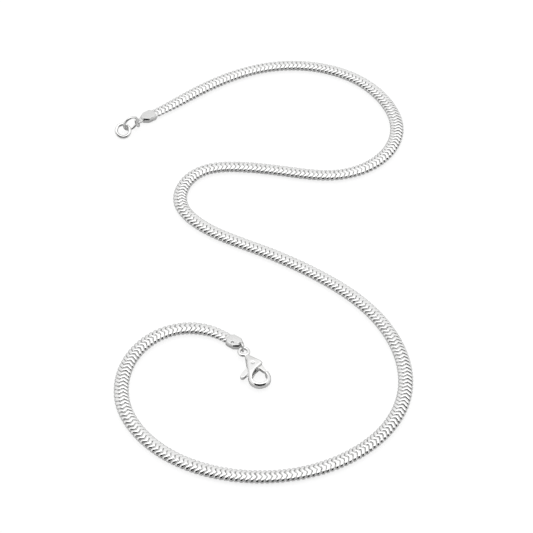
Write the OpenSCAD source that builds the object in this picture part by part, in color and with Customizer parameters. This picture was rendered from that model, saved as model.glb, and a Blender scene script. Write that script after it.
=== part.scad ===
// A flat herringbone chain with a lobster clasp, lying unclasped in an S on a table, in millimetres.
// +X runs to the right, +Y to the far end, +Z up from the table.

/* [Chain] */
// Width of the flat chain
chain_w = 3.9; // [3.2:0.1:5]
// Thickness of the flat chain in the middle of its width
chain_t = 1.9; // [1.7:0.05:2.1]

/* [End caps] */
// Length of a cap's plate, from its mouth to its tip
cap_len = 4.1; // [3.8:0.1:5]
// Wall of a cap round the chain
cap_wall = 0.22; // [0.15:0.01:0.4]
// How far the chain reaches into a cap
cap_grip = 1.3; // [0.8:0.1:1.6]
// From the tip of the left cap's plate to the middle of its eye
left_eye_out = 1.2; // [1.15:0.05:1.25]
// From the tip of the right cap's plate to the middle of its eye
right_eye_out = -0.25; // [-0.3:0.05:0]
// Hole in a cap's tongue
eye_bore = 1.2; // [1.15:0.05:1.25]
// Metal round that hole
eye_rim = 0.25; // [0.2:0.05:0.25]
// Thickness of a cap's tongue
tongue_t = 0.45; // [0.3:0.05:0.5]

/* [Rings] */
// Outer width of the small link in the left cap
left_link_od = 3.25; // [3.2:0.05:3.3]
// Outer width of the small link in the right cap
right_link_od = 2.75; // [2.6:0.05:2.9]
// Wire of the small links
link_wire = 0.45; // [0.35:0.05:0.5]
// Outer width of the jump ring
jump_od = 5.15; // [5.1:0.05:5.3]
// Wire of the jump ring
jump_wire = 0.75; // [0.5:0.05:0.8]
// Outer width of the end ring that the clasp hooks into
end_od = 4.85; // [4.8:0.05:5]
// Wire of the end ring
end_wire = 0.95; // [0.7:0.05:1]

/* [Clasp] */
// From the centre of the tail ring to the centre of the hook's bend
clasp_reach = 10.3; // [10:0.05:11.5]
// Outer width of the clasp across the hook's bend
clasp_w = 5.9; // [5.6:0.1:6.4]
// Thickness of the clasp's body
clasp_t = 2.6; // [2.2:0.1:3.4]
// Width of the hook, seen from above
hook_w = 1.0; // [0.8:0.05:1.2]
// Outer width of the tail ring
tail_od = 3.4; // [3.2:0.1:4]
// Wire of the tail ring
tail_wire = 0.9; // [0.7:0.05:1]
// Thickness of the lever
lever_t = 1.1; // [0.7:0.05:1.3]
// Bore for the lever's pin
pin_bore = 0.8; // [0.5:0.05:1]

/* [Fits] */
// Gap between a cap and the chain that it holds
cap_fit = 0.03; // [0.01:0.01:0.1]
// Gap between the lever and the slot that it turns in
slot_fit = 0.12; // [0.08:0.01:0.2]
// Gap between the pin and its bores
pin_fit = 0.03; // [0.02:0.01:0.08]

/* [Hidden] */
$fn = 48;

// The chain's route on the table, from the cap with the rings to the cap with the clasp
route = [
    [-34.5, 56.0], [-27.5, 61.0], [-15.5, 71.5], [-0.5, 79.0], [16.0, 79.0], [30.5, 71.0],
    [38.5, 56.0], [37.5, 44.0], [31.0, 34.5], [19.0, 29.0], [2.5, 33.0], [-14.0, 35.0],
    [-21.5, 31.0], [-25.0, 24.0], [-24.5, 16.0], [-15.5, 7.0], [0.0, 0.0], [13.5, -8.5],
    [26.0, -19.0], [34.5, -33.0], [37.0, -49.5], [31.0, -64.5], [18.0, -75.0], [2.5, -79.5],
    [-14.0, -78.0], [-28.5, -70.5], [-38.0, -57.0], [-38.0, -43.0], [-32.5, -33.0],
    [-24.0, -28.0], [-15.0, -28.8], [-9.0, -33.2]];
// Moves the route so that the whole necklace is centred on the origin
route_shift = [2.366, -0.057];
// Cross-sections along the chain, and the sides of each
chain_rings = 76;
chain_sides = 12;
// How square the oval section is: 1 is an ellipse, and less is squarer
oval_power = 1.08;
// Shares of its width and thickness that the chain has inside a cap
pinch_w = 0.85;
pinch_t = 0.63;
// Spans of the route that lie in a cap, and spans over which the chain then widens and sinks to the table
held_spans = 0.2;
free_spans = 1.3;

last = len(route) - 1;
cap_t = chain_t * pinch_t + 2 * (cap_wall + cap_fit);
cap_w = chain_w * pinch_w + 2 * (cap_wall + cap_fit);
cap_mid_z = cap_t / 2;
eye_r = eye_bore / 2 + eye_rim;

// A control point of the route, with one more beyond each end so that the curve starts on its end
function ctrl(i) = route_shift +
    (i < 0 ? 2 * route[0] - route[1] : i > last ? 2 * route[last] - route[last - 1] : route[i]);
// The span of the route that holds place u, and the four weights of its control points there
function span(u) = min(floor(u), last - 1);
function weights(f) =
    [pow(1 - f, 3), 3 * pow(f, 3) - 6 * f * f + 4, 1 + 3 * f + 3 * f * f - 3 * pow(f, 3), pow(f, 3)] / 6;
function slopes(f) = [-pow(1 - f, 2), 3 * f * f - 4 * f, 1 + 2 * f - 3 * f * f, f * f] / 2;
function mix(i, w) = w[0] * ctrl(i - 1) + w[1] * ctrl(i) + w[2] * ctrl(i + 1) + w[3] * ctrl(i + 2);
function route_at(u) = let (i = span(u)) mix(i, weights(u - i));
function along(u) = let (i = span(u), d = mix(i, slopes(u - i))) d / norm(d);

// 1 inside a cap, falling smoothly to 0 along the free chain
function held(x) = let (k = min(1, max(0, (held_spans + free_spans - x) / free_spans))) k * k * (3 - 2 * k);
function held_at(u) = held(u) + held(last - u);

// Points of the flat oval section, pinched by a share and grown by a gap all round
function signed_pow(x) = sign(x) * pow(abs(x), oval_power);
half_side = 180 / chain_sides;
function oval(pinching, gap) =
    let (half_w = chain_w / 2 * (1 - (1 - pinch_w) * pinching) + gap,
         half_t = chain_t / 2 * (1 - (1 - pinch_t) * pinching) + gap)
    [for (i = [0 : chain_sides - 1])
        let (a = half_side * (2 * i + 1))
        [half_w * signed_pow(cos(a)), half_t * signed_pow(sin(a))] / signed_pow(cos(half_side))];
function chain_ring(u) =
    let (p = route_at(u), d = along(u), h = held_at(u), z = chain_t / 2 * (1 - h) + cap_mid_z * h)
    [for (q = oval(h, 0)) [p[0] - q[0] * d[1], p[1] + q[0] * d[0], z + q[1]]];
function stop_at(k) = held_spans + (last - 2 * held_spans) * k / (chain_rings - 1);
stops = [0, for (k = [0 : chain_rings - 1]) stop_at(k), last];

module chain() {
    points = [for (u = stops) each chain_ring(u)];
    start = [for (i = [0 : chain_sides - 1]) i];
    finish = [for (i = [chain_sides - 1 : -1 : 0]) (len(stops) - 1) * chain_sides + i];
    sides = [
        for (k = [0 : len(stops) - 2], i = [0 : chain_sides - 1])
            let (a = k * chain_sides + i, b = k * chain_sides + (i + 1) % chain_sides)
            [a, a + chain_sides, b + chain_sides, b]];
    color("silver") polyhedron(points, concat([start], sides, [finish]));
}

// A frame at each end of the chain, with +X pointing away from it along the cap
module at_left_end() {
    d = -along(0);
    translate([for (v = route_at(0)) v]) rotate(atan2(d[1], d[0])) children();
}
module at_right_end() {
    d = along(last);
    translate([for (v = route_at(last)) v]) rotate(atan2(d[1], d[0])) children();
}

// The cap's plate bulges at its mouth and narrows from its shoulders to its tip; inset pulls the outline in
mouth_bulge = 0.14 * cap_len;
cap_waist = 0.62 * cap_len;
cap_bevel = 0.3;
module cap_plate(inset) {
    w = cap_w / 2 - inset;
    polygon([
        [inset - mouth_bulge, -w * 0.45], [inset, -w * 0.9], [mouth_bulge, -w], [cap_waist, -w],
        [cap_len - inset, inset - eye_r], [cap_len - inset, eye_r - inset], [cap_waist, w],
        [mouth_bulge, w], [inset, w * 0.9], [inset - mouth_bulge, w * 0.45]]);
}

module end_cap(eye_out) {
    eye_x = cap_len + eye_out;
    color("gainsboro") translate([-cap_grip, 0, 0]) difference() {
        union() {
            hull() {
                linear_extrude(cap_t) cap_plate(cap_bevel);
                translate([0, 0, cap_bevel]) linear_extrude(cap_t - 2 * cap_bevel) cap_plate(0);
            }
            translate([0, 0, cap_mid_z - tongue_t / 2]) hull() {
                translate([eye_x, 0, 0]) cylinder(r = eye_r, h = tongue_t);
                translate([cap_len - 2 * cap_bevel, -eye_r, 0]) cube([cap_bevel, 2 * eye_r, tongue_t]);
            }
        }
        translate([0, 0, cap_mid_z]) rotate([90, 0, 90]) translate([0, 0, -cap_grip])
            linear_extrude(2 * cap_grip + cap_fit) polygon(oval(1, cap_fit));
        translate([eye_x, 0, cap_mid_z]) cylinder(d = eye_bore, h = 2 * cap_t, center = true);
    }
}

module wire_ring(od, wire) {
    rotate_extrude() translate([(od - wire) / 2, 0]) circle(d = wire, $fn = 24);
}
module ring_with(centre, turn, tilt, od, wire) {
    translate(centre) rotate([0, tilt, turn]) color("silver") wire_ring(od, wire);
}

// The right link stands on edge through its cap's eye, turned to where the clasp pulls it
right_link_turn = -37.5;
link_reach = sqrt(pow((right_link_od - link_wire) / 2, 2) - pow(right_link_od / 2 - cap_mid_z, 2));
module at_right_eye() {
    at_right_end() translate([cap_len + right_eye_out - cap_grip, 0, 0]) rotate(right_link_turn) children();
}
module cap_link_right() {
    at_right_eye() ring_with([link_reach, 0, right_link_od / 2], 90, 90, right_link_od, link_wire);
}

// The leaning rings: place from the left cap's eye, the way each faces, and its lean from lying flat
left_eye = route_at(0) - along(0) * (cap_len + left_eye_out - cap_grip);
left_link_place = left_eye + [-0.305, -1.035];
left_link_turn = 1.3;
left_link_tilt = 66.8;
jump_place = left_eye + [-1.955, -2.815];
jump_turn = 301.8;
jump_tilt = 94;
end_place = left_eye + [-4.195, -4.625];
end_turn = 286.4;
end_tilt = 26.5;
module leaning_ring(place, turn, tilt, od, wire) {
    ring_with([place[0], place[1], wire / 2 + (od - wire) / 2 * sin(tilt)], turn, tilt, od, wire);
}

// The clasp's own frame: the tail ring's centre, with +X to the hook and +Y to the gate
clasp_turn = 8.5;
tail_r = (tail_od - tail_wire) / 2;
tail_gap = 0.06;
link_r = (right_link_od - link_wire) / 2;
link_far = link_reach + sqrt(pow(link_r, 2) - pow(right_link_od / 2 - clasp_t / 2, 2));
tail_at = link_far + tail_r - (link_wire + tail_wire) / 2 - tail_gap;
module at_clasp() {
    at_right_eye() translate([tail_at, 0, clasp_t / 2]) rotate(clasp_turn) children();
}

// Places on the clasp, as shares of its reach and of its width
function on_clasp(p) = [p[0] * clasp_reach, p[1] * clasp_w];
neck = [tail_od / 2 + 0.087 * clasp_w, 0.02 * clasp_w];
hook_centre = on_clasp([1, -0.025]);
pivot = on_clasp([0.526, 0.015]);
lever_corners = [[0.464, -0.12], [0.464, -0.6], [0.823, -0.6], [0.823, 0.5], [0.593, 0.5], [0.49, 0.2]];
lip = [[0.57, 0.5], [0.612, 0.4], [0.714, 0.012], [0.833, -0.23], [0.96, -0.367]];
hook_tip_angle = 112;
gate_end_angle = 124;
hook_t = 0.73 * clasp_t;
clasp_bevel = 0.16 * clasp_t;
hub_r = 0.228 * clasp_w;
hook_hole_r = clasp_w / 2 - hook_w;

// A round disc with bevelled rims, for the hull of the body
module disc(p, r, t) {
    translate([p[0], p[1], 0]) {
        cylinder(r = r, h = t - 2 * clasp_bevel, center = true, $fn = 40);
        cylinder(r = r - clasp_bevel, h = t, center = true, $fn = 40);
    }
}

// The room between the two cheeks, in which the lever turns
module lever_room() {
    translate(pivot) circle(r = hub_r + slot_fit);
    polygon([for (p = lever_corners) on_clasp(p)]);
}

module clasp_body() {
    tip = [cos(hook_tip_angle), sin(hook_tip_angle)];
    at_clasp() color("whitesmoke") difference() {
        union() {
            wire_ring(tail_od, tail_wire);
            hull() {
                disc(neck, 0.125 * clasp_w, tail_wire * 1.5);
                disc(on_clasp([0.535, 0.325]), 0.115 * clasp_w, clasp_t);
                disc(on_clasp([0.42, -0.06]), 0.13 * clasp_w, clasp_t);
                disc(on_clasp([0.72, -0.26]), 0.11 * clasp_w, clasp_t);
                disc(hook_centre, clasp_w / 2, hook_t);
            }
        }
        translate([hook_centre[0], hook_centre[1], 0]) {
            cylinder(r = hook_hole_r, h = 2 * clasp_t, center = true);
            for (side = [0, 1])
                mirror([0, 0, side]) translate([0, 0, (hook_t + clasp_t) / 4])
                    cylinder(r1 = hook_hole_r - clasp_bevel / 2, r2 = hook_hole_r + clasp_bevel,
                             h = clasp_t / 2, center = true);
        }
        linear_extrude(2 * clasp_t, center = true)
            polygon([for (p = lip) on_clasp(p), hook_centre, hook_centre + clasp_w * tip]);
        linear_extrude(lever_t + 2 * slot_fit, center = true) lever_room();
        translate(pivot) cylinder(d = pin_bore, h = 2 * clasp_t, center = true);
    }
}

module clasp_lever() {
    gate_end = hook_centre + 0.465 * clasp_w * [cos(gate_end_angle), sin(gate_end_angle)];
    at_clasp() color("gainsboro") difference() {
        linear_extrude(lever_t, center = true) {
            translate(pivot) circle(r = hub_r);
            hull() {
                translate(on_clasp([0.675, 0.29])) circle(r = 0.11 * clasp_w);
                translate(gate_end) circle(r = 0.055 * clasp_w);
            }
            hull() {
                translate(pivot) circle(r = 0.9 * hub_r);
                translate(on_clasp([0.675, 0.29])) circle(r = 0.11 * clasp_w);
            }
            hull() {
                translate(on_clasp([0.59, -0.14])) circle(r = 0.145 * clasp_w);
                translate(on_clasp([0.765, -0.67])) circle(r = 0.1 * clasp_w);
            }
        }
        translate(pivot) cylinder(d = pin_bore, h = 2 * clasp_t, center = true);
    }
}

module lever_pin() {
    at_clasp() color("gray") translate(pivot) cylinder(d = pin_bore - 2 * pin_fit, h = clasp_t, center = true);
}

chain();
at_left_end() end_cap(left_eye_out);  // end_cap_left
at_right_end() end_cap(right_eye_out);  // end_cap_right
leaning_ring(left_link_place, left_link_turn, left_link_tilt, left_link_od, link_wire);  // cap_link_left
cap_link_right();
leaning_ring(jump_place, jump_turn, jump_tilt, jump_od, jump_wire);  // jump_ring
leaning_ring(end_place, end_turn, end_tilt, end_od, end_wire);  // end_ring
clasp_body();
clasp_lever();
lever_pin();
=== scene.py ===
# %% [markdown]
# # A flat herringbone chain on a pale table
# The necklace is a woven silver chain, unclasped and laid out in a wide S. Its solids come from
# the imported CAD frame. This lesson dresses them: the chain is woven from small wire links, the
# clasp and the caps get the soft edges of polished metal, and a studio is built round them.

# %% Load the frame
import math

import bmesh
import bpy
import numpy as np
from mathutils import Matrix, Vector


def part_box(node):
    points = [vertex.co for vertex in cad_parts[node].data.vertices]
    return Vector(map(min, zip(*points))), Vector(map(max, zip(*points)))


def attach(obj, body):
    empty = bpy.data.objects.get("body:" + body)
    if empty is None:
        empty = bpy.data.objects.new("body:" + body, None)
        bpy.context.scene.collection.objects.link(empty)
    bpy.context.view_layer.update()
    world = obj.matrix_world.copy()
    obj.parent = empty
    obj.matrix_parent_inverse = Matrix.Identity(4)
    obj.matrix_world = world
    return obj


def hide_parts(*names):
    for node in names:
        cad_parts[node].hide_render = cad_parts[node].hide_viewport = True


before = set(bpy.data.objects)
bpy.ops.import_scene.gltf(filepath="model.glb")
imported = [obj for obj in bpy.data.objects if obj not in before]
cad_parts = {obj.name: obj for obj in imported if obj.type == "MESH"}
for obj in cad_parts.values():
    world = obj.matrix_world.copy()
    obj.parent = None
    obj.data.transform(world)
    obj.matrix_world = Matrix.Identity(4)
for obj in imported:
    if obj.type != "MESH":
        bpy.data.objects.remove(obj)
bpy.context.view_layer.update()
MM = 0.001
print("nodes:", sorted(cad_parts))

# %% [markdown]
# ## The camera
# The photograph was taken from above and in front, through a long lens. A lens could be judged
# by eye, but here the camera was found by matching the picture, which gives the focal length in
# pixels. The picture is square, so the lens follows from that, the picture's width and the
# sensor's width.

# %% Place the camera
PICTURE = 533
FOCAL_PIXELS = 2095
LOOK_DOWN = math.radians(45.7)
CAMERA_AT = (2.107 * MM, -404.45 * MM, 409.5 * MM)
bpy.ops.object.camera_add(location=CAMERA_AT, rotation=(math.pi / 2 - LOOK_DOWN, 0, 0))
camera = bpy.context.object
camera.data.sensor_width = 36
camera.data.lens = camera.data.sensor_width * FOCAL_PIXELS / PICTURE
camera.data.clip_start = 0.05
bpy.context.scene.camera = camera
print("lens:", round(camera.data.lens, 1), "mm")

# %% [markdown]
# ## Polished silver
# Silver is a mirror, so most of its look is what it reflects. What belongs to the metal itself is
# a faint haze where cloth and skin have touched it, hair-fine scratches, and a little tarnish.
# Each material could have its own nodes for these, but all the silver pieces share them. So they
# are one node group that is placed in each material with its own numbers. The group puts out a
# colour, a roughness and a normal. The shader and its fixed values stay in the material.

# %% Helpers for node trees
def new_group(name, inputs, outputs):
    group = bpy.data.node_groups.new(name, "ShaderNodeTree")
    for label, kind, value in inputs:
        group.interface.new_socket(label, in_out="INPUT", socket_type=kind).default_value = value
    for label, kind in outputs:
        group.interface.new_socket(label, in_out="OUTPUT", socket_type=kind)
    return group, group.nodes.new("NodeGroupInput"), group.nodes.new("NodeGroupOutput")


def connect(tree, source, socket):
    if isinstance(source, (int, float, tuple)):
        socket.default_value = source
    else:
        tree.links.new(source, socket)


def add_noise(tree, coords, scale, detail):
    noise = tree.nodes.new("ShaderNodeTexNoise")
    for label, source in (("Vector", coords), ("Scale", scale), ("Detail", detail)):
        connect(tree, source, noise.inputs[label])
    return noise.outputs["Fac"]


def add_range(tree, value, low, high, to_low, to_high):
    node = tree.nodes.new("ShaderNodeMapRange")
    for label, source in (("Value", value), ("From Min", low), ("From Max", high),
                          ("To Min", to_low), ("To Max", to_high)):
        connect(tree, source, node.inputs[label])
    return node.outputs["Result"]


def add_mix(tree, kind, factor, a, b):
    node = tree.nodes.new("ShaderNodeMix")
    node.data_type = "RGBA"
    node.blend_type = kind
    for label, source in (("Factor", factor), ("A", a), ("B", b)):
        connect(tree, source, node.inputs[label])
    return node.outputs["Result"]


# %% Build the group for worn polish
HAZE_FROM, HAZE_TO = 0.35, 0.7
TARNISH_FROM, TARNISH_TO, TARNISH_MOST = 0.55, 0.8, 0.5
polish, given, given_out = new_group(
    "worn polish",
    [("Bright", "NodeSocketColor", (0.95, 0.95, 0.94, 1)),
     ("Tarnish", "NodeSocketColor", (0.6, 0.58, 0.55, 1)),
     ("Clear", "NodeSocketFloat", 0.1),
     ("Hazy", "NodeSocketFloat", 0.25),
     ("Haze Scale", "NodeSocketFloat", 400.0),
     ("Scratch", "NodeSocketFloat", 0.1)],
    [("Color", "NodeSocketColor"), ("Roughness", "NodeSocketFloat"),
     ("Normal", "NodeSocketVector")])
place = polish.nodes.new("ShaderNodeTexCoord").outputs["Object"]
haze = add_noise(polish, place, given.outputs["Haze Scale"], 3)
roughness = add_range(polish, haze, HAZE_FROM, HAZE_TO,
                      given.outputs["Clear"], given.outputs["Hazy"])
polish.links.new(roughness, given_out.inputs["Roughness"])
tarnished = add_range(polish, haze, TARNISH_FROM, TARNISH_TO, 0, TARNISH_MOST)
tint = add_mix(polish, "MIX", tarnished, given.outputs["Bright"], given.outputs["Tarnish"])
polish.links.new(tint, given_out.inputs["Color"])
print("group:", polish.name, "with", len(polish.nodes), "nodes so far")

# %% Add the scratches to the group
SCRATCH_STRETCH = (1, 9, 3)
SCRATCH_ANGLE = 0.6
SCRATCH_SCALE = 1500
SCRATCH_DEPTH = 0.01 * MM
stretch = polish.nodes.new("ShaderNodeMapping")
stretch.inputs["Scale"].default_value = SCRATCH_STRETCH
stretch.inputs["Rotation"].default_value = (0, 0, SCRATCH_ANGLE)
polish.links.new(place, stretch.inputs["Vector"])
scratches = add_noise(polish, stretch.outputs["Vector"], SCRATCH_SCALE, 2)
bump = polish.nodes.new("ShaderNodeBump")
bump.inputs["Distance"].default_value = SCRATCH_DEPTH
polish.links.new(given.outputs["Scratch"], bump.inputs["Strength"])
polish.links.new(scratches, bump.inputs["Height"])
polish.links.new(bump.outputs["Normal"], given_out.inputs["Normal"])
print("group:", polish.name, "with", len(polish.nodes), "nodes")

# %% [markdown]
# Each part of the necklace has its own silver: the chain and the rings are drawn wire, the caps
# are stamped from sheet and a little duller, and the clasp is cast and buffed. One material for
# all would be simpler, but then the caps and the clasp wouldn't stand out from the chain. "clear"
# and "hazy" are the roughness where the polish is whole and where it is worn.

# %% Make the four silvers
def silver(name, bright, tarnish, clear, hazy, haze_scale, scratch):
    material = bpy.data.materials.new(name)
    material.use_nodes = True
    tree = material.node_tree
    shader = tree.nodes["Principled BSDF"]
    shader.inputs["Metallic"].default_value = 1
    worn = tree.nodes.new("ShaderNodeGroup")
    worn.node_tree = polish
    for label, value in (("Bright", (*bright, 1)), ("Tarnish", (*tarnish, 1)), ("Clear", clear),
                         ("Hazy", hazy), ("Haze Scale", haze_scale), ("Scratch", scratch)):
        worn.inputs[label].default_value = value
    for label, target in (("Color", "Base Color"), ("Roughness", "Roughness"),
                          ("Normal", "Normal")):
        tree.links.new(worn.outputs[label], shader.inputs[target])
    return material


wire_silver = silver(
    "drawn wire silver", bright=(0.93, 0.93, 0.925), tarnish=(0.72, 0.71, 0.69),
    clear=0.08, hazy=0.18, haze_scale=500, scratch=0.1)
sheet_silver = silver(
    "stamped sheet silver", bright=(0.79, 0.79, 0.785), tarnish=(0.66, 0.655, 0.64),
    clear=0.16, hazy=0.3, haze_scale=700, scratch=0.2)
ring_silver = silver(
    "ring silver", bright=(0.9, 0.9, 0.895), tarnish=(0.7, 0.69, 0.67),
    clear=0.08, hazy=0.18, haze_scale=600, scratch=0.12)
cast_silver = silver(
    "buffed cast silver", bright=(0.92, 0.92, 0.915), tarnish=(0.74, 0.73, 0.71),
    clear=0.12, hazy=0.22, haze_scale=350, scratch=0.2)
print("materials:", " | ".join(
    made.name for made in (wire_silver, sheet_silver, ring_silver, cast_silver)))

# %% [markdown]
# ## The route of the chain
# The chain lies along one smooth curve. It could be drawn with Bezier handles, but a NURBS curve
# of order 4 over these points is the same uniform cubic spline that the CAD source follows, so the
# two agree everywhere. One more point beyond each end, mirrored in the end point, makes the curve
# start and stop exactly on its end points.

# %% Draw the route
ROUTE = [
    (-34.5, 56.0), (-27.5, 61.0), (-15.5, 71.5), (-0.5, 79.0), (16.0, 79.0), (30.5, 71.0),
    (38.5, 56.0), (37.5, 44.0), (31.0, 34.5), (19.0, 29.0), (2.5, 33.0), (-14.0, 35.0),
    (-21.5, 31.0), (-25.0, 24.0), (-24.5, 16.0), (-15.5, 7.0), (0.0, 0.0), (13.5, -8.5),
    (26.0, -19.0), (34.5, -33.0), (37.0, -49.5), (31.0, -64.5), (18.0, -75.0), (2.5, -79.5),
    (-14.0, -78.0), (-28.5, -70.5), (-38.0, -57.0), (-38.0, -43.0), (-32.5, -33.0),
    (-24.0, -28.0), (-15.0, -28.8), (-9.0, -33.2)]
SHIFT = Vector((2.366, -0.057, 0))
corners = [(Vector((x, y, 0)) + SHIFT) * MM for x, y in ROUTE]
corners = [2 * corners[0] - corners[1], *corners, 2 * corners[-1] - corners[-2]]
bpy.ops.curve.primitive_nurbs_path_add(location=(0, 0, 0))
route = bpy.context.object
route.data.splines.clear()
route.data.dimensions = "2D"
spline = route.data.splines.new("NURBS")
spline.points.add(len(corners) - 1)
for point, corner in zip(spline.points, corners):
    point.co = (*corner, 1)
spline.order_u = 4
spline.resolution_u = 32
chain_length = spline.calc_length()
print("chain between its ends:", round(chain_length / MM, 1), "mm")

# %% [markdown]
# Inside a cap the chain is squeezed flatter and narrower, and it widens again over the next
# centimetre. A lattice could squeeze it by eye, but the CAD solid has a rule for this, given in
# spans of the route. So this cell measures how far along the chain each place on the route is,
# from the same spline weights, and the rule can then be used on the straight chain.

# %% Measure the squeeze along the chain
CHAIN_W, CHAIN_T = 3.9 * MM, 1.9 * MM
PINCH_W, PINCH_T = 0.85, 0.63
HELD_SPANS, FREE_SPANS = 0.2, 1.3
CAP_WALL, CAP_FIT = 0.22 * MM, 0.03 * MM
CAP_MIDDLE = CHAIN_T * PINCH_T / 2 + CAP_WALL + CAP_FIT
SPANS = len(ROUTE) - 1
STEPS_A_SPAN = 400
points = np.array(corners)
spans = np.linspace(0, SPANS, SPANS * STEPS_A_SPAN + 1)
first = np.minimum(spans.astype(int), SPANS - 1)
f = (spans - first)[:, None]
weights = ((1 - f) ** 3, 3 * f**3 - 6 * f**2 + 4, 1 + 3 * f + 3 * f**2 - 3 * f**3, f**3)
line = sum(w * points[first + k] for k, w in enumerate(weights)) / 6
travel = np.concatenate([[0], np.cumsum(np.linalg.norm(np.diff(line, axis=0), axis=1))])


def held(span):
    k = np.clip((HELD_SPANS + FREE_SPANS - span) / FREE_SPANS, 0, 1)
    return k * k * (3 - 2 * k)


squeeze = held(spans) + held(SPANS - spans)
print("measured length:", round(travel[-1] / MM, 1), "mm")

# %% [markdown]
# ## One link
# A herringbone chain is woven from hundreds of wire loops, and then rolled flat. Seen from above,
# each loop runs across the chain in a zigzag of three arms, and it closes round the edges and
# underneath. Rolling has pressed the arms into flat bands that almost touch, so all that shows
# between them is a fine groove. The rows of arms, leaning one way and then the other, give the
# chain its herringbone look.
# A link could be a wire drawn along a path, but pressed wire is closer to a strap. So a circle of
# vertices is pressed to the chain's oval, extruded into a band, and its vertices are moved along
# the chain to make the zigzag. The link is repeated hundreds of times, so it has few faces.

# %% Helpers for selecting and for modifiers
def deselect_everything():
    for thing in bpy.context.selected_objects:
        thing.select_set(False)


def select_only(thing):
    deselect_everything()
    thing.select_set(True)
    bpy.context.view_layer.objects.active = thing


def select_vertices(thing, wanted):
    mesh = bmesh.from_edit_mesh(thing.data)
    for vertex in mesh.verts:
        vertex.select = wanted(vertex.co)
    mesh.select_flush_mode()
    bmesh.update_edit_mesh(thing.data)


def apply_modifier(thing, kind, **values):
    select_only(thing)
    bpy.ops.object.modifier_add(type=kind)
    modifier = thing.modifiers[-1]
    for key, value in values.items():
        setattr(modifier, key, value)
    bpy.ops.object.modifier_apply(modifier=modifier.name)


def size_mm(thing):
    return [round(v / MM, 2) for v in thing.dimensions]


# %% Extrude a band
BAND = 1.12 * MM
BAND_SIDES = 16
deselect_everything()
bpy.ops.mesh.primitive_circle_add(vertices=BAND_SIDES, radius=CHAIN_W / 2,
                                  rotation=(0, math.pi / 2, 0))
link = bpy.context.object
link.name = "chain_links"
bpy.ops.object.transform_apply(location=False, rotation=True, scale=False)
bpy.ops.object.mode_set(mode="EDIT")
bpy.ops.mesh.select_all(action="SELECT")
bpy.ops.transform.resize(value=(1, 1, CHAIN_T / CHAIN_W))
bpy.ops.transform.translate(value=(-BAND / 2, 0, 0))
bpy.ops.mesh.extrude_region_move(TRANSFORM_OT_translate={"value": (BAND, 0, 0)})
bpy.ops.object.mode_set(mode="OBJECT")
print("band:", size_mm(link), "mm")

# %% [markdown]
# Each row of the zigzag says how far from the middle a pair of vertices is, how far they move
# along the chain, and how far they move in towards the middle, all in millimetres. The two sides
# move in opposite directions, so the arms at the edges lean one way and the middle arm the other.

# %% Bend the band into its zigzag
ZIGZAG = [(1.95, 0.4, 0), (1.8, 0.38, 0), (1.38, 0.23, 0), (0.746, -0.34, 0.2)]
CLOSE_TO = 0.03 * MM
bpy.ops.object.mode_set(mode="EDIT")
for off_middle, forward, inward in ZIGZAG:
    for side in (-1, 1):
        select_vertices(link, lambda co: abs(co.y - side * off_middle * MM) < CLOSE_TO)
        bpy.ops.transform.translate(value=(side * forward * MM, -side * inward * MM, 0))
bpy.ops.mesh.select_all(action="SELECT")
bpy.ops.mesh.normals_make_consistent(inside=False)
bpy.ops.object.mode_set(mode="OBJECT")
print("zigzag:", size_mm(link), "mm")

# %% [markdown]
# Now the band becomes a strap with a wall, and its outer rims are eased. On the flat top they are
# eased only a little, so the groove between two arms is fine. At the turns over the chain's edges
# the rollers never touched the wire, so there the rims are eased far more and the strap is round.
# Two bevels on two selections would do it, but one bevel modifier can do both at once, because it
# reads a weight from each edge.

# %% Thicken the band and ease its rims
STRAP = 0.45 * MM
EASE_TOP, EASE_EDGE = 0.18 * MM, 0.32 * MM
EDGE_FROM = 1.6 * MM
apply_modifier(link, "SOLIDIFY", thickness=STRAP, offset=-1, use_even_offset=True)


def outward(face):
    middle = face.calc_center_median()
    is_rim = abs(face.normal.x) >= 0.5
    return not is_rim and face.normal.y * middle.y + face.normal.z * middle.z > 0


mesh = bmesh.new()
mesh.from_mesh(link.data)
weight = mesh.edges.layers.float.new("bevel_weight_edge")
for edge in mesh.edges:
    if [outward(face) for face in edge.link_faces].count(True) == 1:
        off_middle = max(abs(vertex.co.y) for vertex in edge.verts)
        edge[weight] = 1 if off_middle > EDGE_FROM else EASE_TOP / EASE_EDGE
mesh.to_mesh(link.data)
mesh.free()
apply_modifier(link, "BEVEL", width=EASE_EDGE, segments=1, limit_method="WEIGHT")
print("one link:", len(link.data.polygons), "faces,", size_mm(link), "mm")

# %% [markdown]
# ## The woven chain
# Each link could be placed by a loop, but an array modifier repeats it down a straight line at
# once. Machines make each link alike, but wear and bending tilt them by a degree or so, which
# makes the chain sparkle unevenly. So each link is turned by a small amount that is the same in
# every run: the first spread turns it flat on the table, and the second leans it. A small tilt
# only slides each point along the chain, by its distance from the middle line.

# %% Repeat and tilt the links
PITCH = 1.254 * MM
END_ROOM = 1.3 * MM
SEED = 7
TILT_SPREADS = {1: math.radians(0.7), 2: math.radians(1.2)}
links = int((chain_length - 2 * END_ROOM) / PITCH) + 1
start = (chain_length - (links - 1) * PITCH) / 2
apply_modifier(link, "ARRAY", count=links, use_relative_offset=False, use_constant_offset=True,
               constant_offset_displace=(PITCH, 0, 0))
per_link = len(link.data.vertices) // links
co = np.zeros(len(link.data.vertices) * 3)
link.data.vertices.foreach_get("co", co)
co = co.reshape(links, per_link, 3)
chance = np.random.default_rng(SEED)
# The first draws aren't used. They are made so that the tilts keep their place in the sequence.
chance.random(links)
for axis, spread in TILT_SPREADS.items():
    tilt = chance.normal(0, spread, links)[:, None]
    co[:, :, 0] += co[:, :, axis] * np.sin(tilt)
print(links, "links,", per_link, "vertices each")

# %% [markdown]
# Then the chain is squeezed at its ends, and a curve modifier lays it along the route. The curve
# works on the straight chain's X axis, so the squeeze comes first, while X is still the distance
# along the chain. Weighted normals keep the flat tops of the arms flat, with soft rims.

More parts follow.
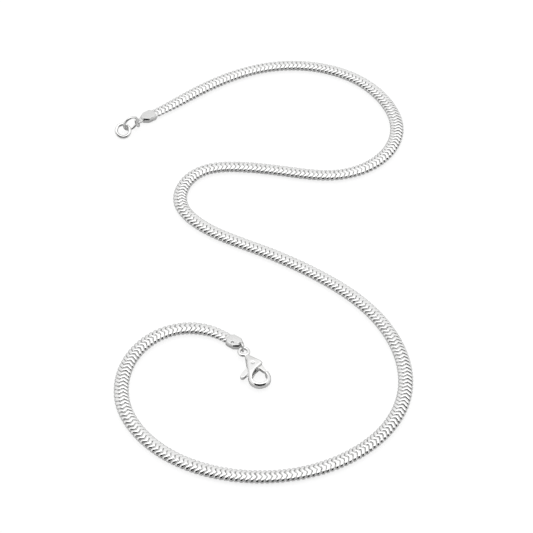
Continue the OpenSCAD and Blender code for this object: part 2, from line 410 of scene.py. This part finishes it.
# %% Squeeze the ends and lay the chain along the route
def squeeze_section(x, y, z):
    share = np.interp(x, travel, squeeze)
    middle = CHAIN_T / 2 * (1 - share) + CAP_MIDDLE * share
    return y * (1 - (1 - PINCH_W) * share), z * (1 - (1 - PINCH_T) * share) + middle


def lay_along_route(thing):
    apply_modifier(thing, "CURVE", object=route, deform_axis="POS_X")


co[:, :, 0] += start
co[:, :, 1], co[:, :, 2] = squeeze_section(co[:, :, 0], co[:, :, 1], co[:, :, 2])
link.data.vertices.foreach_set("co", co.reshape(-1))
lay_along_route(link)
bpy.ops.object.shade_smooth()
apply_modifier(link, "WEIGHTED_NORMAL", weight=60, keep_sharp=False)
link.data.materials.append(wire_silver)
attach(link, "necklace")
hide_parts("chain")
print("woven chain:", len(link.data.polygons), "faces")

# %% [markdown]
# Between the arms the real weave shows more wire, a little in shadow. Every inner loop could be
# modelled, but so little of it shows that one thin core down the middle of the chain stands for
# all of it. Its silver is darker and rougher than the links'. The darker colour is painted shade:
# it stands in for the shadow on that inner wire and keeps the grooves soft and grey. The core also
# keeps the table from showing through.

# %% Fill the middle of the chain
CORE_W, CORE_T = 3.5 * MM, 0.5 * MM
CORE_SIDES = 12
CORE_CUTS = 99
CORE_SHORTER = 0.2 * MM
# The darker colours of this silver are painted shade for the shadowed inner wire; its higher
# roughness is the metal's own.
shaded_core_silver = silver(
    "shaded inner wire", bright=(0.7, 0.7, 0.7), tarnish=(0.5, 0.5, 0.5),
    clear=0.3, hazy=0.45, haze_scale=900, scratch=0.3)
deselect_everything()
bpy.ops.mesh.primitive_cylinder_add(vertices=CORE_SIDES, radius=CORE_W / 2,
                                    depth=chain_length - CORE_SHORTER,
                                    rotation=(0, math.pi / 2, 0))
core = bpy.context.object
core.name = "chain_core"
bpy.ops.object.transform_apply(location=False, rotation=True, scale=False)
bpy.ops.object.mode_set(mode="EDIT")
bpy.ops.mesh.select_all(action="SELECT")
bpy.ops.transform.resize(value=(1, 1, CORE_T / CORE_W))
mesh = bmesh.from_edit_mesh(core.data)
for part in (*mesh.verts, *mesh.edges, *mesh.faces):
    part.select = False
for edge in mesh.edges:
    edge.select = abs(edge.verts[0].co.x - edge.verts[1].co.x) > chain_length / 2
bmesh.update_edit_mesh(core.data)
bpy.ops.mesh.subdivide(number_cuts=CORE_CUTS)
bpy.ops.object.mode_set(mode="OBJECT")
print("core:", len(core.data.polygons), "faces")

# %% Lay the core along the same route
apply_modifier(core, "SUBSURF", levels=1, render_levels=1, subdivision_type="SIMPLE")
core_co = np.zeros(len(core.data.vertices) * 3)
core.data.vertices.foreach_get("co", core_co)
core_co = core_co.reshape(-1, 3)
core_co[:, 0] += chain_length / 2
core_co[:, 1], core_co[:, 2] = squeeze_section(*core_co.T)
core.data.vertices.foreach_set("co", core_co.reshape(-1))
lay_along_route(core)
select_only(core)
bpy.ops.object.shade_smooth()
core.data.materials.append(shaded_core_silver)
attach(core, "necklace")
bpy.data.objects.remove(route)
print("core laid:", len(core.data.polygons), "faces")

# %% [markdown]
# ## The rings
# Four rings of round wire join the chain to its clasp. A ring could be spun from a circle, and a
# torus is the same thing ready made. A jeweller's ring isn't a perfect torus though: the wire is
# cut, closed and soldered, which leaves a fine groove. A narrow bevel round the wire, with its
# middle pulled in, makes that groove. Each CAD ring's box gives the ring's place.

# %% Make a ring with a soldered seam
RING_STEPS, WIRE_SIDES = 72, 18
SEAM_W = 0.05 * MM
# The share of the wire's width that the groove leaves
SEAM_LEAVES = 0.9
# Angles from the seam, in radians, that pick the cut's vertices and then the groove's
AT_CUT, AT_GROOVE = 0.02, 0.004


def wire_ring(node, outer, wire, lean, turn, seam_at):
    low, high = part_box(node)
    seam = math.radians(seam_at)
    groove_middle = Vector((math.cos(seam), math.sin(seam), 0)) * (outer - wire) / 2 * MM
    deselect_everything()
    bpy.ops.mesh.primitive_torus_add(major_radius=(outer - wire) / 2 * MM,
                                     minor_radius=wire / 2 * MM,
                                     major_segments=RING_STEPS, minor_segments=WIRE_SIDES)
    ring = bpy.context.object
    ring.name = node + "_wire"

    def off_seam(co):
        return abs(math.remainder(math.atan2(co.y, co.x) - seam, math.tau))

    bpy.ops.object.mode_set(mode="EDIT")
    select_vertices(ring, lambda co: off_seam(co) < AT_CUT)
    bpy.ops.mesh.bevel(offset=SEAM_W, segments=2, affect="EDGES")
    select_vertices(ring, lambda co: off_seam(co) < AT_GROOVE)
    bpy.ops.transform.resize(value=(SEAM_LEAVES, SEAM_LEAVES, SEAM_LEAVES),
                             center_override=groove_middle)
    bpy.ops.object.mode_set(mode="OBJECT")
    bpy.ops.object.shade_smooth()
    ring.rotation_euler = (0, math.radians(lean), math.radians(turn))
    ring.location = (low + high) / 2
    bpy.ops.object.transform_apply(location=True, rotation=True, scale=False)
    ring.data.materials.append(ring_silver)
    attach(ring, "necklace")
    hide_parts(node)
    cad_size = [round(v / MM, 2) for v in high - low]
    print(ring.name, size_mm(ring), "mm, CAD", cad_size)


# %% [markdown]
# Each ring has its own outer width and wire, in millimetres. Its lean, its turn and the place of
# its seam are in degrees. Each seam is at another place, since loose rings turn as they are worn.

# %% Place the four rings
wire_ring("cap_link_left", outer=3.25, wire=0.45, lean=66.8, turn=1.3, seam_at=90)
wire_ring("jump_ring", outer=5.15, wire=0.75, lean=94, turn=301.8, seam_at=-60)
wire_ring("end_ring", outer=4.85, wire=0.95, lean=26.5, turn=286.4, seam_at=120)
wire_ring("cap_link_right", outer=2.75, wire=0.45, lean=90, turn=16.25, seam_at=-90)

# %% [markdown]
# ## The clasp and the caps
# The clasp is cast and the caps are stamped, and both are tumbled and buffed until no edge is
# sharp. They could be modelled again by hand, but their forms are already in the CAD solids, so a
# copy of each solid is the start. Its loose triangles are merged first. Then a voxel remesh gives
# it an even skin, a smooth modifier rounds every edge by the same small amount, as buffing does,
# and a decimate modifier thins the skin where it is flat.

# %% Copy a CAD solid and merge its triangles
WELD = 0.001 * MM


def merged_copy(node):
    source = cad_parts[node]
    copy = source.copy()
    copy.data = source.data.copy()
    copy.parent = None
    for key in list(copy.keys()):
        del copy[key]
    bpy.context.scene.collection.objects.link(copy)
    copy.name = node + "_buffed"
    select_only(copy)
    bpy.ops.object.mode_set(mode="EDIT")
    bpy.ops.mesh.select_all(action="SELECT")
    bpy.ops.mesh.remove_doubles(threshold=WELD)
    bpy.ops.mesh.normals_make_consistent(inside=False)
    bpy.ops.object.mode_set(mode="OBJECT")
    return copy


# %% Buff a copy
def buff(copy, node, body, material, voxel, passes, keep):
    apply_modifier(copy, "REMESH", mode="VOXEL", voxel_size=voxel * MM)
    apply_modifier(copy, "SMOOTH", factor=0.5, iterations=passes)
    apply_modifier(copy, "DECIMATE", ratio=keep)
    bpy.ops.object.shade_smooth()
    copy.data.materials.clear()
    copy.data.materials.append(material)
    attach(copy, body)
    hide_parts(node)
    print(copy.name, len(copy.data.polygons), "faces", size_mm(copy), "mm")


# %% [markdown]
# The clasp's body is the bigger and rounder piece, so it gets the most passes of smoothing and
# keeps the most faces. The lever's tab and gate are thin, and fewer passes keep their shape.

# %% Buff the clasp's body and its lever
buff(merged_copy("clasp_body"), "clasp_body", "necklace", cast_silver,
     voxel=0.09, passes=20, keep=0.5)
buff(merged_copy("clasp_lever"), "clasp_lever", "lever", cast_silver,
     voxel=0.08, passes=8, keep=0.3)

# %% [markdown]
# A cap's top is domed, because it was folded over the chain and pressed. The CAD solid has only a
# narrow bevel there, so the upper edge of its side is lowered, which makes the slope deeper. The
# right cap also has a dimple from the punch that fixed it on the chain. A bump in the material
# could fake it, but its shade in the photo comes from real depth, so a small ball is cut out.

# %% Shape and buff the caps
CAP_EDGE_Z, CAP_EDGE_DROP = 1.397 * MM, 0.2 * MM
AT_LEVEL = 0.01 * MM
PUNCH_AT, PUNCH_R = (-6.85 * MM, -34.25 * MM, 1.7 * MM), 0.4 * MM
for node in ("end_cap_left", "end_cap_right"):
    cap = merged_copy(node)
    bpy.ops.object.mode_set(mode="EDIT")
    select_vertices(cap, lambda co: abs(co.z - CAP_EDGE_Z) < AT_LEVEL)
    bpy.ops.transform.translate(value=(0, 0, -CAP_EDGE_DROP))
    bpy.ops.object.mode_set(mode="OBJECT")
    if node == "end_cap_right":
        deselect_everything()
        bpy.ops.mesh.primitive_uv_sphere_add(segments=24, ring_count=12, radius=PUNCH_R,
                                             location=PUNCH_AT)
        punch = bpy.context.object
        apply_modifier(cap, "BOOLEAN", operation="DIFFERENCE", object=punch, solver="EXACT")
        bpy.data.objects.remove(punch)
    buff(cap, node, "necklace", sheet_silver, voxel=0.06, passes=2, keep=0.12)

# %% [markdown]
# The lever's pin is a plain rod, flush with the clasp on both sides. It could be buffed too, but
# only its two ends show, so it keeps its CAD mesh and only gets the clasp's silver.

# %% Give the pin its silver
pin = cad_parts["lever_pin"]
pin.data.materials.clear()
pin.data.materials.append(cast_silver)
print("pin:", size_mm(pin), "mm")

# %% [markdown]
# ## The table
# The photograph is cut out on white, with hardly a shadow. A table white enough for that would
# fill the silver with glare. So the paper has two looks. The camera sees it glow almost white,
# with a faint shadow left where the chain lies. Every other ray, such as a reflection in the
# silver, finds a plain light grey. It lies a hair below the necklace, so that they never touch.

# %% Lay the table
TABLE_R = 0.6
TABLE_DROP = 0.03 * MM
GRAIN_SCALE = 900
PAPER_DARK, PAPER_LIGHT = 0.68, 0.72
SEEN_BASE, SEEN_GLOW = (0.2, 0.2, 0.2, 1), 0.85
deselect_everything()
bpy.ops.mesh.primitive_circle_add(vertices=96, radius=TABLE_R, fill_type="NGON",
                                  location=(0, 0, -TABLE_DROP))
table = bpy.context.object
table.name = "table"
paper = bpy.data.materials.new("white paper")
paper.use_nodes = True
tree = paper.node_tree
sheet = tree.nodes["Principled BSDF"]
place = tree.nodes.new("ShaderNodeTexCoord").outputs["Object"]
grain = add_noise(tree, place, GRAIN_SCALE, 4)
seen = tree.nodes.new("ShaderNodeLightPath").outputs["Is Camera Ray"]
reflected = add_range(tree, grain, 0, 1, PAPER_DARK, PAPER_LIGHT)
tree.links.new(add_mix(tree, "MIX", seen, reflected, SEEN_BASE), sheet.inputs["Base Color"])
tree.links.new(add_range(tree, seen, 0, 1, 0, SEEN_GLOW), sheet.inputs["Emission Strength"])
sheet.inputs["Roughness"].default_value = 0.7
sheet.inputs["Emission Color"].default_value = (1, 1, 1, 1)
table.data.materials.append(paper)
print("table:", round(table.dimensions.x, 2), "m across")

# %% [markdown]
# ## The studio
# Silver shows its shape only if it has something dark to reflect. A studio could be built from
# boards, but a world of soft steps is lighter and has no corners. Its walls are pale and grow
# brighter towards the ceiling. One dark panel stands in front, on the camera's side, and the
# slopes that face the camera carry it as thin dark lines. The camera itself sees plain near white
# beyond the table, so neither the walls nor the panel are in the picture.
# Each pair below is a place along one axis of the room, and the value of the walls or of the
# panel there. The walls are stepped by height, from the horizon at 0 to straight up at 1.

# %% Light the room
WALLS = [(0, 0.75), (0.25, 0.86), (0.72, 0.92), (0.84, 1.0), (1, 1.2)]
PANEL_ACROSS = [(-0.75, 0), (-0.62, 1), (0.7, 1), (0.82, 0)]
PANEL_IN_FRONT = [(-1, 1), (-0.3, 1), (-0.15, 0)]
PANEL_COLOR, BACKDROP = (0.02, 0.02, 0.02, 1), (0.95, 0.95, 0.95, 1)


def add_steps(tree, value, low, high, steps):
    ramp = tree.nodes.new("ShaderNodeValToRGB")
    tree.links.new(add_range(tree, value, low, high, 0, 1), ramp.inputs["Fac"])
    stops = ramp.color_ramp.elements
    places = [(at - low) / (high - low) for at, _ in steps]
    levels = [(level, level, level, 1) for _, level in steps]
    stops[0].position, stops[1].position = places[0], places[-1]
    stops[0].color, stops[1].color = levels[0], levels[-1]
    for at, level in zip(places[1:-1], levels[1:-1]):
        stops.new(at).color = level
    return ramp.outputs["Color"]


world = bpy.data.worlds.new("studio")
bpy.context.scene.world = world
world.use_nodes = True
tree = world.node_tree
split = tree.nodes.new("ShaderNodeSeparateXYZ")
tree.links.new(tree.nodes.new("ShaderNodeTexCoord").outputs["Generated"], split.inputs["Vector"])
walls = add_steps(tree, split.outputs["Z"], 0, 1, WALLS)
across = add_steps(tree, split.outputs["X"], -1, 1, PANEL_ACROSS)
in_front = add_steps(tree, split.outputs["Y"], -1, 1, PANEL_IN_FRONT)
panel = add_mix(tree, "MULTIPLY", 1, across, in_front)
seen = tree.nodes.new("ShaderNodeLightPath").outputs["Is Camera Ray"]
room = add_mix(tree, "MIX", panel, walls, PANEL_COLOR)
room = add_mix(tree, "MIX", seen, room, BACKDROP)
tree.links.new(room, tree.nodes["Background"].inputs["Color"])
tree.nodes["Background"].inputs["Strength"].default_value = 1.0
print("room:", len(tree.nodes), "nodes")

# %% [markdown]
# The room alone lights the necklace from all round, and it would look flat. A small lamp would
# give hard glints, so one wide softbox hangs over the table and gives the tops of the links a
# gentle light from above. The Standard view keeps white paper white.

# %% Hang a softbox
SOFTBOX_AT = Vector((0, 0.05, 0.8))
bpy.ops.object.light_add(type="AREA", location=SOFTBOX_AT)
softbox = bpy.context.object
softbox.data.shape = "DISK"
softbox.data.size = 0.9
softbox.data.energy = 1
softbox.rotation_euler = (-SOFTBOX_AT).to_track_quat("-Z", "Y").to_euler()
bpy.context.scene.view_settings.view_transform = "Standard"
